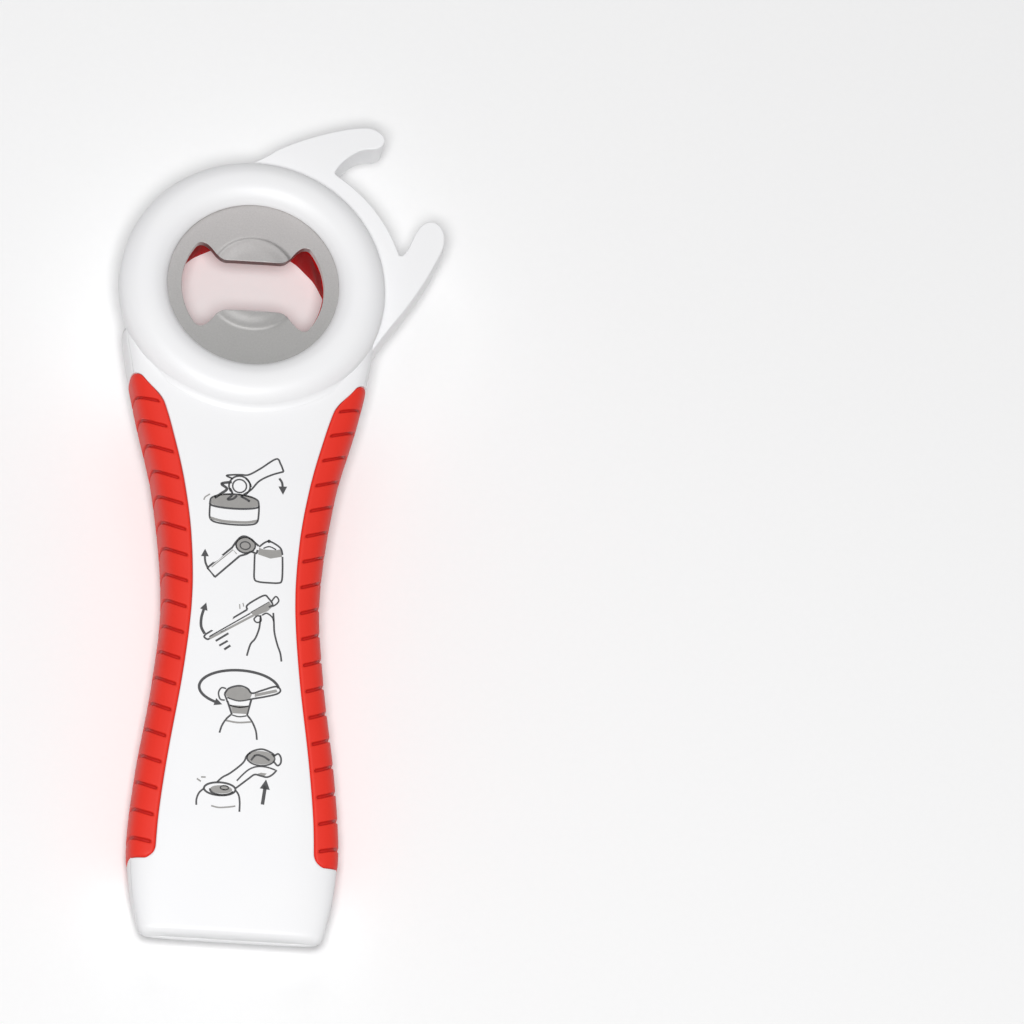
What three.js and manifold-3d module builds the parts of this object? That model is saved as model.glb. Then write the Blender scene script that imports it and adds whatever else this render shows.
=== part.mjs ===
// Five-way kitchen opener: a one-piece rigid hand tool with a jar-lid claw, a crown-cap plate,
// a twist-cap recess behind the plate and a ring-pull wedge at the end of the handle.
// Millimetres. It lies on its back: +Z is the front face, +Y the head, -Y the wedge end.
// Inside this file X = Y = 0 is the axis of the round head, and Z = 0 the surface it lies on.
import * as THREE from 'three';
import { LoftGeometry } from 'three/addons/geometries/LoftGeometry.js';
import { mergeVertices } from 'three/addons/utils/BufferGeometryUtils.js';
import Module from 'manifold-3d';

const wasm = await Module();
wasm.setup();

// ---- driving dimensions -------------------------------------------------------------------

const FACE_Z = 24;              // front face of the head, and of the steel plate
const HALF_GAP = 0.15;          // half the gap between two pieces that touch
const REACH = 60;               // longer than any cut has to be
const OVERLAP = 1;              // how far solids run into each other where they are joined or cut
const MERGE_DISTANCE = 1e-4;    // corners closer than this are one
const CURVE_POINTS = 160;       // in a table read by y
const OUTLINE_SEGMENTS = 5;     // in each curve of an outline
const PLATE_SEGMENTS = 12;      // the same, for the plate

// handle
const HANDLE_START_Y = 2;       // hidden inside the head
const HANDLE_END_Y = -146.5;
const PAST_END_Y = -151.5;      // cuts run on past the end as far as this
const ARCH_START_Y = -20;       // the face is flat as far as here, then curves away
const ARCH_RADIUS = 800;
const PALM_Y = -108;            // where the palm swell touches the table
const NECK_Y = -28;
const NECK_BACK_Z = 8;          // underside of the handle where it leaves the head
const END_BACK_Z = 8;           // underside of the wedge at its tip
const NECK_CURVE = 1.35;        // how soon the underside leaves the palm swell
const SECTION_POWER = 4.4;      // squareness of the handle's cross section
const SECTION_POINTS = 20;
const STATIONS = 12;
const SEAM_STEPS = 20;          // along the seam
const HALF_WIDTHS = [           // [y, half width] of the handle's outline
  [4, 28.2], [-12, 26.9], [-28, 23.8], [-45, 19.5], [-69, 16.7],
  [-88, 18.1], [-108, 21], [-125, 22.5], [-137, 21.7], [-145, 19.7], [-148, 18.7],
];

// head
const COLLAR_RADII = [[0, 24.6], [9, 26.4], [16, 27.9], [20.5, 28.7]];   // [z, radius]
const HEAD_RADIUS = 28.7;
const RING_PROFILE = [          // [radius, z] of the domed ring, from its inner edge outwards
  [18.6, 24.3], [18.9, 25.0], [19.9, 26.0], [21.6, 26.8], [23.6, 27.0],
  [25.5, 26.7], [27.2, 25.7], [28.3, 24.2], [28.7, 22.4],
];
const RING_CORE_RADIUS = 10;    // the ring is solid from here out, until its seat and mouth are cut
const RING_SEGMENTS = 36;
const HEAD_OVERLAP = 0.5;       // the handle runs into the head by this much
const SEAM_DEPTH = 3.5;         // the shells part this far below the front face
const SEAT_RADIUS = 21.8;       // pocket for the steel plate
const SPIGOT_RADIUS = 21.5;     // ring of the rear shell that centres the front one
const PLATE_RADIUS = 21.5;
const PLATE_THICKNESS = 1.8;
const PLATE_BACK_Z = FACE_Z - PLATE_THICKNESS;

// crown-cap opening
const HOLE_RADIUS = 15.4;
const LIP_HALF_GAP = 5.75;      // from the hole's centre line to each prising lip
const LIP_HALF_WIDTH = 5.6;
const HOLE_OFFSET_Y = -0.4;
const EAR_ANGLE = THREE.MathUtils.degToRad(33);
const LIP_CROWN = 5;            // height and half width of the pressed crescent behind a lip
const LIP_CROWN_HALF_WIDTH = 7;
const LIP_RAISE = 0.4;

// twist-cap recess
const LINER_MOUTH = 18.8;
const LINER_TOP = 15.3;
const LINER_OUTER_TOP = 19.3;
const LINER_OUTER_MOUTH = 20.8;
const LINER_LIP_RADIUS = 22.3;
const LINER_LIP_HEIGHT = 1.6;
const FLUTES = 20;
const FLUTE_DEPTH = 0.5;
const FLUTE_POINTS = 4;

// jar-lid claw
const CLAW_BACK_Z = 12;
const WEB_RADIUS = 33.5;

// grips
const GRIP_THICKNESS = 1.8;
const GRIP_TOP_Y = -20.2;
const GRIP_END_Y = -130;
const GRIP_END_RISE = 1.6;      // its lower end runs up towards the side by this much
const GRIP_TOP_BEND = [23.5, 25.5];   // x at which its top turns down, and where the turn starts
const GRIP_CORNER = 3;          // how far its lower inner corner is rounded
const GRIP_STEP = 5;
const GRIP_INNER = [            // [y, half width] of the grip's edge on the face
  [-23.2, 21.3], [-27, 18.7], [-36, 15.9], [-46, 13.5], [-58, 11.7], [-72, 11.1],
  [-88, 12.4], [-107, 15.1], [-118, 16.4], [-125, 16.9],
];
const GROOVES = 18;
const GROOVE_FIRST_Y = -27.4;
const GROOVE_PITCH = 5.83;
const GROOVE_WIDTH = 0.8;
const GROOVE_DEPTH = 0.7;
const GROOVE_BORDER = 1.1;
const GROOVE_TILT = THREE.MathUtils.degToRad(15);

// inside of the handle
const WALL = 2.4;
const SIDE_WALL = 4.4;          // the side walls are thicker, under the grips
const INNER_POWER = 2.6;
const CELL_ROWS = 6;
const CELL_START_Y = -32;
const CELL_PITCH = 17;
const RIB = 1.6;
const BOSS_RADIUS = 3.4;
const BOSS_ROWS = [1, 3, 5];
const PIN_RADIUS = 1.3;
const PIN_HOLE_RADIUS = 1.6;
const PIN_LENGTH = 6;
const PIN_SEGMENTS = 10;

// hollow of the collar
const COLLAR_POCKET = [[22.9, REACH], [22.9, 8], [24.1, 8], [26.2, 20.5], [26.2, REACH]];   // [radius, z]
const COLLAR_RIBS = 8;

// ---- solids --------------------------------------------------------------------------------

function solid(geometry) {
  const bare = new THREE.BufferGeometry();
  bare.setAttribute('position', geometry.attributes.position);
  bare.setIndex(geometry.index);
  const merged = mergeVertices(bare, MERGE_DISTANCE);
  return new wasm.Manifold(new wasm.Mesh({
    numProp: 3,
    vertProperties: new Float32Array(merged.attributes.position.array),
    triVerts: new Uint32Array(merged.index.array),
  }));
}

function mesh(name, body, material) {
  const { vertProperties, triVerts } = body.getMesh();
  const geometry = new THREE.BufferGeometry();
  geometry.setAttribute('position', new THREE.BufferAttribute(vertProperties, 3));
  geometry.setIndex(new THREE.BufferAttribute(triVerts, 1));
  geometry.computeVertexNormals();
  const node = new THREE.Mesh(geometry, material);
  node.name = name;
  return node;
}

const union = (bodies) => bodies.reduce((a, b) => a.add(b));

function slab(shape, low, high, curveSegments = OUTLINE_SEGMENTS) {
  const geometry = new THREE.ExtrudeGeometry(shape, {
    depth: high - low, bevelEnabled: false, curveSegments,
  });
  return solid(geometry.translate(0, 0, low));
}

function turned(profile, segments = RING_SEGMENTS) {
  const points = profile.map(([radius, z]) => new THREE.Vector2(radius, z));
  if (THREE.ShapeUtils.isClockWise(points)) points.reverse();
  points.push(points[0].clone());
  return solid(new THREE.LatheGeometry(points, segments).rotateX(Math.PI / 2));
}

function cylinder(radius, low, high, x, y, segments = 12) {
  const geometry = new THREE.CylinderGeometry(radius, radius, high - low, segments);
  return solid(geometry.rotateX(Math.PI / 2).translate(x, y, (low + high) / 2));
}

function box(x0, x1, y0, y1, z0, z1) {
  const geometry = new THREE.BoxGeometry(x1 - x0, y1 - y0, z1 - z0);
  return solid(geometry.translate((x0 + x1) / 2, (y0 + y1) / 2, (z0 + z1) / 2));
}

// ---- curves of the handle ------------------------------------------------------------------

function along(table) {
  const curve = new THREE.SplineCurve(table.map(([y, value]) => new THREE.Vector2(y, value)));
  const points = curve.getPoints(CURVE_POINTS);
  return (y) => {
    const i = Math.max(1, points.findIndex((p) => p.x <= y));
    const [a, b] = [points[i - 1], points[i]];
    return THREE.MathUtils.mapLinear(y, a.x, b.x, a.y, b.y);
  };
}

const halfWidth = along(HALF_WIDTHS);
const gripInner = along(GRIP_INNER);

function frontZ(y) {
  const past = Math.min(0, y - ARCH_START_Y);
  return FACE_Z - past * past / (2 * ARCH_RADIUS);
}

function backZ(y) {
  if (y < PALM_Y) return END_BACK_Z * ((PALM_Y - y) / (PALM_Y - HANDLE_END_Y)) ** 2;
  const rise = Math.min(1, (y - PALM_Y) / (NECK_Y - PALM_Y));
  return NECK_BACK_Z * rise ** NECK_CURVE;
}

// one cross section, a rounded rectangle; sideInset and faceInset shrink it
function section(y, sideInset, faceInset, power) {
  const top = frontZ(y) - faceInset;
  const bottom = backZ(y) + faceInset;
  const a = halfWidth(y) - sideInset;
  const b = (top - bottom) / 2;
  const round = (t) => Math.sign(t) * Math.abs(t) ** (2 / power);
  return Array.from({ length: SECTION_POINTS }, (_, i) => {
    const angle = (2 * Math.PI * (i + 0.5)) / SECTION_POINTS;
    const x = a * round(Math.cos(angle));
    return new THREE.Vector3(x, y, (top + bottom) / 2 + b * round(Math.sin(angle)));
  });
}

function handle(sideInset = 0, faceInset = 0, power = SECTION_POWER, endInset = 0) {
  const length = HANDLE_START_Y - HANDLE_END_Y - endInset;
  const sections = Array.from({ length: STATIONS + 1 }, (_, i) => (
    section(HANDLE_START_Y - (length * i) / STATIONS, sideInset, faceInset, power)
  ));
  return solid(new LoftGeometry(sections, { capStart: true, capEnd: true }));
}

// everything above the curved surface where the two shells part, raised by offset
function aboveSeam(offset) {
  const side = new THREE.Shape();
  side.moveTo(REACH, frontZ(0) - SEAM_DEPTH + offset);
  for (let i = 0; i <= SEAM_STEPS; i += 1) {
    const y = THREE.MathUtils.lerp(ARCH_START_Y, PAST_END_Y, i / SEAM_STEPS);
    side.lineTo(y, frontZ(y) - SEAM_DEPTH + offset);
  }
  side.lineTo(PAST_END_Y, REACH);
  side.lineTo(REACH, REACH);
  const geometry = new THREE.ExtrudeGeometry(side, { depth: 2 * REACH, bevelEnabled: false });
  const turn = new THREE.Matrix4().makeBasis(
    new THREE.Vector3(0, 1, 0), new THREE.Vector3(0, 0, 1), new THREE.Vector3(1, 0, 0),
  );
  return solid(geometry.applyMatrix4(turn).translate(-REACH, 0, 0));
}

// ---- outlines in plan ----------------------------------------------------------------------

// disc of the head with the two hooks of the claw
function clawShape() {
  const shape = new THREE.Shape();
  const arc = (radius, x0, y0, x1, y1) => {
    shape.lineTo(x0, y0);
    shape.absarc(0, 0, radius, Math.atan2(y0, x0), Math.atan2(y1, x1), true);
  };
  shape.moveTo(-8, 27.4);
  shape.quadraticCurveTo(0.5, 29.8, 4.5, 33.2);            // back of the upper hook
  shape.quadraticCurveTo(8.5, 35.7, 16, 38.2);
  shape.splineThru([[21, 39.5], [25, 39.8], [27.6, 38.4], [28, 36.6], [26.6, 35.1]]
    .map(([x, y]) => new THREE.Vector2(x, y)));            // its rounded tip
  shape.splineThru([[23.4, 34.6], [20.7, 33], [18.5, 30.8], [17.3, 28.8]]
    .map(([x, y]) => new THREE.Vector2(x, y)));            // the edge that hooks under a lid
  arc(WEB_RADIUS, 17.3, 28.8, 31.9, 10.4);                 // bridge between the hooks
  shape.quadraticCurveTo(32.9, 10.2, 34.1, 13.2);          // notch of the prong
  shape.splineThru([[35.7, 16.8], [37.6, 18.7], [39.9, 18.5], [41.3, 16.4], [41.4, 13.6]]
    .map(([x, y]) => new THREE.Vector2(x, y)));            // its rounded tip
  shape.splineThru([[40.5, 11], [37.6, 5], [33.6, -1.6], [29.2, -7.9], [26.6, -12]]
    .map(([x, y]) => new THREE.Vector2(x, y)));            // long back of the prong
  shape.lineTo(0, -12);
  return shape;
}

// bow-tie opening: the ends follow one circle, and two lips reach in from above and below
function holePath() {
  const path = new THREE.Path();
  const earX = 9.5;
  const earY = 9.1;
  const shoulder = 1.4;
  const corner = [HOLE_RADIUS * Math.cos(EAR_ANGLE), HOLE_RADIUS * Math.sin(EAR_ANGLE)];
  const place = (x, y) => [x, y + HOLE_OFFSET_Y];
  path.moveTo(...place(LIP_HALF_WIDTH, LIP_HALF_GAP));
  path.lineTo(...place(-LIP_HALF_WIDTH, LIP_HALF_GAP));
  path.quadraticCurveTo(...place(-LIP_HALF_WIDTH - shoulder, LIP_HALF_GAP),
    ...place(-LIP_HALF_WIDTH - 2 * shoulder, LIP_HALF_GAP + shoulder));
  path.quadraticCurveTo(...place(-earX - 1, earY + 1), ...place(-corner[0], corner[1]));
  path.absarc(0, HOLE_OFFSET_Y, HOLE_RADIUS, Math.PI - EAR_ANGLE, Math.PI + EAR_ANGLE, false);
  path.quadraticCurveTo(...place(-earX - 1, -earY - 1),
    ...place(-LIP_HALF_WIDTH - 2 * shoulder, -LIP_HALF_GAP - shoulder));
  path.quadraticCurveTo(...place(-LIP_HALF_WIDTH - shoulder, -LIP_HALF_GAP),
    ...place(-LIP_HALF_WIDTH, -LIP_HALF_GAP));
  path.lineTo(...place(LIP_HALF_WIDTH, -LIP_HALF_GAP));
  path.quadraticCurveTo(...place(LIP_HALF_WIDTH + shoulder, -LIP_HALF_GAP),
    ...place(LIP_HALF_WIDTH + 2 * shoulder, -LIP_HALF_GAP - shoulder));
  path.quadraticCurveTo(...place(earX + 1, -earY - 1), ...place(corner[0], -corner[1]));
  path.absarc(0, HOLE_OFFSET_Y, HOLE_RADIUS, -EAR_ANGLE, EAR_ANGLE, false);
  path.quadraticCurveTo(...place(earX + 1, earY + 1),
    ...place(LIP_HALF_WIDTH + 2 * shoulder, LIP_HALF_GAP + shoulder));
  path.quadraticCurveTo(...place(LIP_HALF_WIDTH + shoulder, LIP_HALF_GAP),
    ...place(LIP_HALF_WIDTH, LIP_HALF_GAP));
  return path;
}

// raised crescent behind a lip, above (side 1) or below (side -1) the hole
function crescentShape(side) {
  const shape = new THREE.Shape();
  const base = HOLE_OFFSET_Y + side * LIP_HALF_GAP;
  shape.absellipse(0, base, LIP_CROWN_HALF_WIDTH, LIP_CROWN, 0, side * Math.PI, side < 0);
  return shape;
}

// plan of one grip, side 1 for +X and -1 for -X, shrunk all round by inset
function gripShape(side, inset) {
  const shape = new THREE.Shape();
  const top = GRIP_TOP_Y - inset;
  const end = GRIP_END_Y + inset;
  const lower = GRIP_INNER.at(-1)[0];
  const [bend, bendStart] = GRIP_TOP_BEND;
  const edge = [];
  for (let y = GRIP_INNER[0][0] - inset; y > lower; y -= GRIP_STEP) {
    edge.push(new THREE.Vector2(side * (gripInner(y) + inset), y));
  }
  const last = gripInner(lower) + inset;
  shape.moveTo(side * REACH, top);
  shape.lineTo(side * bendStart, top);
  shape.quadraticCurveTo(side * (bend + inset), top, edge[0].x, edge[0].y);
  shape.splineThru(edge.slice(1));
  shape.lineTo(side * last, lower);
  shape.quadraticCurveTo(side * last, end, side * (last + GRIP_CORNER), end);
  shape.lineTo(side * HEAD_RADIUS, end + GRIP_END_RISE);
  shape.lineTo(side * REACH, end + GRIP_END_RISE);
  return shape;
}

// ---- pieces --------------------------------------------------------------------------------

// hollow cells between the ribs of the handle, around the bosses
function handleCells() {
  const cells = [];
  for (let row = 0; row < CELL_ROWS; row += 1) {
    const top = CELL_START_Y - row * CELL_PITCH - RIB / 2;
    const bottom = CELL_START_Y - (row + 1) * CELL_PITCH + RIB / 2;
    cells.push(box(-REACH, -RIB / 2, bottom, top, -REACH, REACH));
    cells.push(box(RIB / 2, REACH, bottom, top, -REACH, REACH));
  }
  const bosses = BOSS_ROWS.map((row) => (
    cylinder(BOSS_RADIUS, -REACH, REACH, 0, CELL_START_Y - row * CELL_PITCH)
  ));
  const hollow = handle(SIDE_WALL, WALL, INNER_POWER, WALL);
  return union(cells).intersect(hollow).subtract(union(bosses));
}

function pins(radius, low) {
  return union(BOSS_ROWS.map((row) => {
    const y = CELL_START_Y - row * CELL_PITCH;
    const seam = frontZ(y) - SEAM_DEPTH;
    return cylinder(radius, seam + low, seam + OVERLAP, 0, y, PIN_SEGMENTS);
  }));
}

function collarPocket() {
  const ribs = [];
  for (let i = 0; i < COLLAR_RIBS; i += 1) {
    const rib = new THREE.BoxGeometry(REACH, RIB, 2 * REACH);
    rib.translate(REACH / 2, 0, 0).rotateZ((2 * Math.PI * i) / COLLAR_RIBS);
    ribs.push(solid(rib));
  }
  return turned(COLLAR_POCKET).subtract(union(ribs));
}

function gripRecess() {
  const core = handle(GRIP_THICKNESS + HALF_GAP, GRIP_THICKNESS + HALF_GAP);
  const plan = [1, -1].map((side) => slab(gripShape(side, -HALF_GAP), -REACH, REACH));
  return union(plan).subtract(core);
}

function linerBore(grow) {
  const sections = [-OVERLAP, PLATE_BACK_Z + OVERLAP].map((z) => {
    const radius = THREE.MathUtils.mapLinear(z, 0, PLATE_BACK_Z, LINER_MOUTH, LINER_TOP) + grow;
    const count = FLUTES * FLUTE_POINTS;
    return Array.from({ length: count }, (_, i) => {
      const flute = (FLUTE_DEPTH / 2) * (1 - Math.cos((2 * Math.PI * i) / FLUTE_POINTS));
      const angle = (2 * Math.PI * i) / count;
      const r = radius - flute;
      return new THREE.Vector3(r * Math.cos(angle), r * Math.sin(angle), z);
    });
  });
  return solid(new LoftGeometry(sections, { capStart: true, capEnd: true }));
}

// outside of the liner, grown by the clearance of the hole that it sits in
function linerBody(grow) {
  const top = PLATE_BACK_Z - 2 * HALF_GAP + (grow > 0 ? REACH : 0);
  const bottom = grow > 0 ? -OVERLAP : 0;
  const lip = LINER_LIP_RADIUS + grow;
  return turned([
    [0, bottom], [lip, bottom], [lip, LINER_LIP_HEIGHT + grow],
    [LINER_OUTER_MOUTH + grow, LINER_LIP_HEIGHT + grow], [LINER_OUTER_TOP + grow, PLATE_BACK_Z],
    [LINER_OUTER_TOP + grow, top], [0, top],
  ]);
}

function rearShell() {
  const collar = turned([
    [0, 0], ...COLLAR_RADII.map(([z, radius]) => [radius, z]), [HEAD_RADIUS, FACE_Z], [0, FACE_Z],
  ]);
  const claw = slab(clawShape(), CLAW_BACK_Z, FACE_Z);
  const spigotTop = PLATE_BACK_Z - 2 * HALF_GAP;
  const spigotBottom = FACE_Z - SEAM_DEPTH - OVERLAP;
  const spigot = cylinder(SPIGOT_RADIUS, spigotBottom, spigotTop, 0, 0, RING_SEGMENTS);
  return handle().subtract(gripRecess())
    .add(collar)
    .add(claw)
    .subtract(aboveSeam(-HALF_GAP))
    .subtract(handleCells())
    .subtract(collarPocket())
    .add(spigot)
    .subtract(pins(PIN_HOLE_RADIUS, -PIN_LENGTH - OVERLAP))
    .subtract(linerBody(2 * HALF_GAP));
}

function frontShell() {
  const ring = turned([
    [RING_CORE_RADIUS, FACE_Z - SEAM_DEPTH], [RING_CORE_RADIUS, RING_PROFILE[0][1]],
    ...RING_PROFILE, [HEAD_RADIUS, FACE_Z - SEAM_DEPTH],
  ]);
  const seat = cylinder(SEAT_RADIUS, 0, FACE_Z + 2 * HALF_GAP, 0, 0, RING_SEGMENTS);
  const mouth = cylinder(RING_PROFILE[0][0], 0, REACH, 0, 0, RING_SEGMENTS);
  const insideHead = cylinder(HEAD_RADIUS - HEAD_OVERLAP, -REACH, REACH, 0, 0, RING_SEGMENTS);
  return handle().subtract(gripRecess())
    .subtract(insideHead)
    .add(ring)
    .intersect(aboveSeam(HALF_GAP))
    .subtract(handleCells().subtract(insideHead))
    .subtract(seat)
    .subtract(mouth)
    .add(pins(PIN_RADIUS, -PIN_LENGTH));
}

function crownPlate() {
  const shape = new THREE.Shape();
  shape.absarc(0, 0, PLATE_RADIUS, 0, 2 * Math.PI, false);
  shape.holes.push(holePath());
  const disc = slab(shape, PLATE_BACK_Z, FACE_Z, PLATE_SEGMENTS);
  const raised = [1, -1].map((side) => slab(crescentShape(side), FACE_Z - OVERLAP, FACE_Z + LIP_RAISE));
  const hole = slab(new THREE.Shape(holePath().getPoints(PLATE_SEGMENTS)), 0, REACH);
  return disc.add(union(raised).subtract(hole));
}

function capLiner() {
  return linerBody(0).subtract(linerBore(0));
}

function grooves(side) {
  const cuts = [];
  for (let i = 0; i < GROOVES; i += 1) {
    const cut = new THREE.BoxGeometry(REACH, GROOVE_WIDTH, 2 * REACH);
    const y = GROOVE_FIRST_Y - i * GROOVE_PITCH;
    const x = gripInner(Math.max(y, GRIP_INNER.at(-1)[0]));
    cut.translate(REACH / 2, 0, 0).rotateZ(GROOVE_TILT).translate(x, y, 0);
    if (side < 0) cut.applyMatrix4(new THREE.Matrix4().makeRotationY(Math.PI));
    cuts.push(solid(cut));
  }
  return union(cuts)
    .intersect(slab(gripShape(side, GROOVE_BORDER), -REACH, REACH))
    .subtract(handle(GROOVE_DEPTH, GROOVE_DEPTH));
}

function grip(side) {
  return handle()
    .intersect(slab(gripShape(side, HALF_GAP), -REACH, REACH))
    .subtract(handle(GRIP_THICKNESS - HALF_GAP, GRIP_THICKNESS - HALF_GAP))
    .subtract(grooves(side));
}

// ---- assembly ------------------------------------------------------------------------------

const whiteAbs = new THREE.MeshStandardMaterial({ color: 0xf4f4f4, roughness: 0.35, metalness: 0 });
const redRubber = new THREE.MeshStandardMaterial({ color: 0xe8301f, roughness: 0.6, metalness: 0 });
const steel = new THREE.MeshStandardMaterial({ color: 0xb4b1ad, roughness: 0.35, metalness: 1 });

const opener = new THREE.Group();
opener.add(
  mesh('front_shell', frontShell(), whiteAbs),
  mesh('rear_shell', rearShell(), whiteAbs),
  mesh('crown_plate', crownPlate(), steel),
  mesh('cap_liner', capLiner(), redRubber),
  mesh('right_grip', grip(1), redRubber),
  mesh('left_grip', grip(-1), redRubber),
);

// the origin is the middle of the underside
const bounds = new THREE.Box3().setFromObject(opener);
const middle = bounds.getCenter(new THREE.Vector3());
opener.position.set(-middle.x, -middle.y, -bounds.min.z);

export default opener;
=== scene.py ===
import math
from functools import lru_cache

import bmesh
import bpy
from mathutils import Matrix, Vector


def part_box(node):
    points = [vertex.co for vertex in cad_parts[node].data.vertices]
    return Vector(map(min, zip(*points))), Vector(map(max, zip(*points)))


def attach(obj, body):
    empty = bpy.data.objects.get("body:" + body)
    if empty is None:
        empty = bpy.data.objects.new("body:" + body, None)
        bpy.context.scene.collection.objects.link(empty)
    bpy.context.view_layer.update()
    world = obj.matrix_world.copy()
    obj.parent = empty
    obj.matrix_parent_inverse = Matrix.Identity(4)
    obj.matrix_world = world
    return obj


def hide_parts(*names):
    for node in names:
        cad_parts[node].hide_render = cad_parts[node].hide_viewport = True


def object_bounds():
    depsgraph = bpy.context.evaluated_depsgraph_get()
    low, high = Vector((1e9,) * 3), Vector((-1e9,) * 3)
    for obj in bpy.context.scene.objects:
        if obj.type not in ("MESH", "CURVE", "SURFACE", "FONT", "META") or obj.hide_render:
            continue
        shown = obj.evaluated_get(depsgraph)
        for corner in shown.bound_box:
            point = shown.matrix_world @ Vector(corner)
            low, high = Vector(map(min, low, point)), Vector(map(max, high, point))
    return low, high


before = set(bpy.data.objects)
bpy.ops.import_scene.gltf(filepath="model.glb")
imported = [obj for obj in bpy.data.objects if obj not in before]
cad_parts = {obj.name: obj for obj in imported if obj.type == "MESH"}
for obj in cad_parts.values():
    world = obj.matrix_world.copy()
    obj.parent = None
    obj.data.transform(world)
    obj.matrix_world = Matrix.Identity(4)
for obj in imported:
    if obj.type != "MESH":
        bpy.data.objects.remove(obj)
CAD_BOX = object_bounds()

# A rigid five-way kitchen opener that lies on its back. Every shape is worked out in millimetres
# round the axis of the round head, with Z = 0 on the table, and placed in the frame at the end.

MM = 0.001
PLATE_LOW, PLATE_HIGH = (Vector(corner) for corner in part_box("crown_plate"))
HEAD = (PLATE_LOW + PLATE_HIGH) / 2
TO_FRAME = Matrix.Translation((HEAD.x, HEAD.y, 0)) @ Matrix.Scale(MM, 4)

# head
LIP_RAISE = 0.4                                  # how far the crescents stand out of the plate
FACE_Z = PLATE_HIGH.z / MM - LIP_RAISE
SEAM_DEPTH = 3.5                                 # the two shells part this far below the face
SEAM_GAP = 0.06
HEAD_RADIUS = 28.7
TURNED_STEPS = 160                               # round the ring and the collar
CURVE_STEPS = 4                                  # between two points of their profiles
RIM_ROUND = 0.25                                 # how far their edges at the seam are rounded
RING_PROFILE = [                                 # radius and height of the domed ring
    (18.55, 24.15), (18.6, 24.5), (18.95, 25.1), (19.9, 26.0), (21.6, 26.8), (23.6, 27.0),
    (25.5, 26.7), (27.2, 25.7), (28.3, 24.2), (28.65, 22.6),
]
PLATE_SEAT_RADIUS = 21.8                         # inside the ring, round the edge of the plate
PLATE_SEAT_LEAN = 0.1
FILLET_RADIUS = 27.6                             # where the ring starts to run out on the face
FILLET_WIDTH = 1.9
FILLET_RISE = 1.2
FILLET_SPREAD = 52.0                             # degrees to each side of the handle's middle
FILLET_FADE = 0.35                               # the share of that over which it sinks away
FILLET_SINK = 0.5
FILLET_SKIM = 0.02                               # its edge lies this far over the face,
FILLET_TUCK = 0.15                               # and then dips this far into it
FILLET_WALL = 0.5
FILLET_COLUMNS = 60
FILLET_ROWS = 8
COLLAR_PROFILE = [                               # radius and height of the collar behind it
    (23.9, 0.0), (24.6, 0.5), (25.3, 3.4), (26.4, 9.0), (27.9, 16.0), (28.6, 20.0),
]
COLLAR_BORE = 22.5
COLLAR_CHAMFER = 0.3
CLAW_BACK_Z = 12.0
CLAW_TOP_GAP = 0.15                              # between the claw's top and the seam
CLAW_EDGE = 1.1                                  # radius of its edges
CLAW_POINTS = 220                                # round its outline
WEB_RADIUS = 33.5                                # of the bridge between its hooks

# handle
SHELL_WALL = 2.2
HANDLE_TOP_Y = -10.0                             # hidden inside the head
TOP_EDGE = 0.01                                  # this far below its top a shell's edge is its seam
HIDDEN_RADIUS = 25.0                             # the handle's shells end here, in the head's wall
HANDLE_END_Y = (CAD_BOX[0].y - HEAD.y) / MM
ARCH_START_Y = -20.0                             # the face is flat as far as here, then falls away
ARCH_RADIUS = 800.0
PALM_Y = -108.0                                  # where the palm swell touches the table
NECK_Y = -28.0
NECK_BACK_Z = 8.0
END_BACK_Z = 8.0
NECK_CURVE = 1.35
SQUARENESS = 4.4                                 # of the handle's cross section
HALF_WIDTHS = [                                  # y and half width of the handle's outline
    (4, 28.2), (-12, 26.9), (-28, 23.8), (-45, 19.5), (-69, 16.7), (-88, 18.1), (-108, 21),
    (-125, 22.5), (-137, 21.7), (-145, 19.9), (-148, 19.3),
]
END_CORNER = 1.7                                 # radius of the wedge's corners, seen from above
END_EDGE = 1.1                                   # radius of its edges
END_ROWS = 5                                     # of the mesh, round those corners
SECTION_STEPS = 96

# grips
GRIP_EDGES = [                                   # y and half width of the grip's edge on the face
    (4, 25.5), (-12, 24), (-23.2, 21.3), (-27, 18.7), (-36, 15.9), (-46, 13.5), (-58, 11.7),
    (-72, 11.1), (-88, 12.4), (-107, 15.1), (-118, 16.4), (-125, 16.9), (-134, 17), (-148, 15.5),
]
GRIP_TOP_Y = -24.3
GRIP_TOP_SLOPE = 0.7
GRIP_END_Y = -130.9
GRIP_END_SLOPE = 0.0
GRIP_TOP_REACH = 5.0                             # the top's bulge fades out this far from it
GRIP_CORNER = 3.0                                # radius of the lower corners
GRIP_TOP_CORNER = 1.2
CORNER_CUTS = {                                  # (columns, rows) from a corner: share of its radius cut
    (0, 0): (0.3, 0.3), (1, 0): (0, 0.23), (0, 1): (0.1, 0),
}
GRIP_PROUD = 0.2
GRIP_THICKNESS = 1.5
GRIP_GAP = 0.1
SEAT_EDGE = 0.06                                 # the lip round a grip's recess, then its steep side
SEAT_SIDE = 0.04
GROOVES = 18
GROOVE_FIRST_Y = -28.5
GROOVE_PITCH = 5.83
GROOVE_WIDTH = 0.8
GROOVE_DEPTH = 0.75
GROOVE_BORDER = 1.1
GROOVE_SIDE = 0.1                                # how far its steep sides lean
GROOVE_SHOULDER = 0.35                           # how sharp the rubber turns into a groove
GROOVE_SLOPE = math.tan(math.radians(11))
SIDE_CLIMBS = [                                  # y and how steeply the grooves climb down the side
    (4, 0), (-14, 0), (-24, 0.15), (-32, 0.55), (-60, 0.65), (-118, 0.65), (-131, 0.35), (-139, 0),
    (-148, 0),
]
HEAD_ROWS = 8                                    # of the mesh, where the handle leaves the head
HEAD_ROW_PITCH = 1.5
HEAD_ROW_CLIMB = 0.1
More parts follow.
